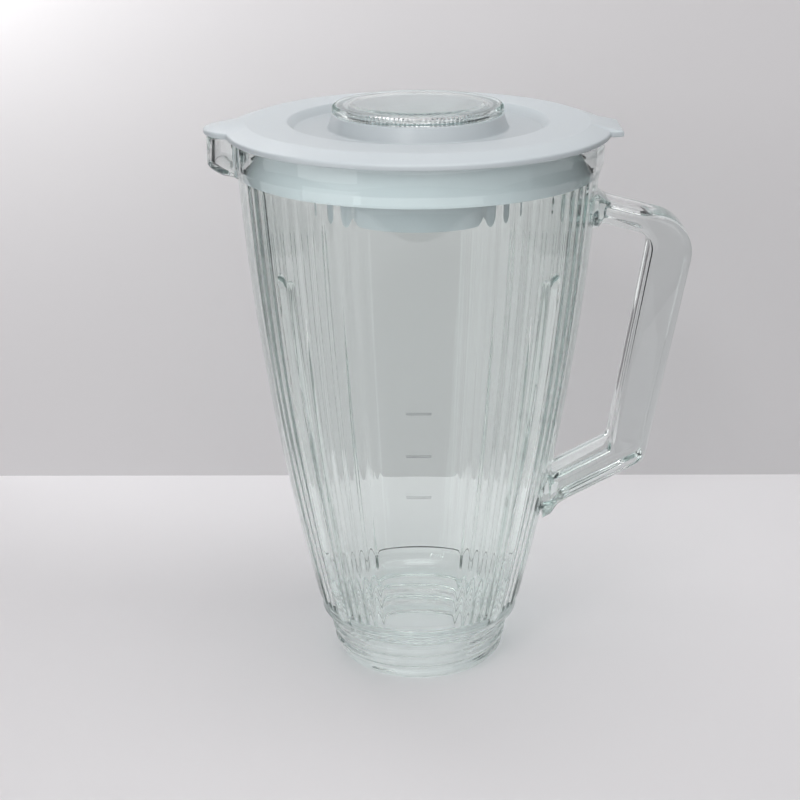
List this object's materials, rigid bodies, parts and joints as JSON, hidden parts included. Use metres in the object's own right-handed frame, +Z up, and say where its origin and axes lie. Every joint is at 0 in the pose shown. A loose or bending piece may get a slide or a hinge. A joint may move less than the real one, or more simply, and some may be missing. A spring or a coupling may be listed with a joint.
{
  "type": "blender jar",
  "caption": "Tall clear jug with a reeded flaring wall, pouring spout, open handle and screw neck, closed by a pale push-on lid with a clear knurled filler cap.",
  "frame": {"origin": "centre of the base opening, in the plane of the foot that the jar stands on", "axes": "+Z up along the jar's axis, +X towards the handle, -X towards the spout"},
  "size_m": [0.1846, 0.1446, 0.2248],
  "materials": {
    "clear_jar": "clear, polished",
    "pale_lid": "semi-gloss, pale blue-white",
    "clear_cap": "clear, polished, knurled edge"
  },
  "bodies": {
    "root": {"jar": "clear_jar", "lid": "pale_lid", "cap": "clear_cap"}
  },
  "joints": []
}
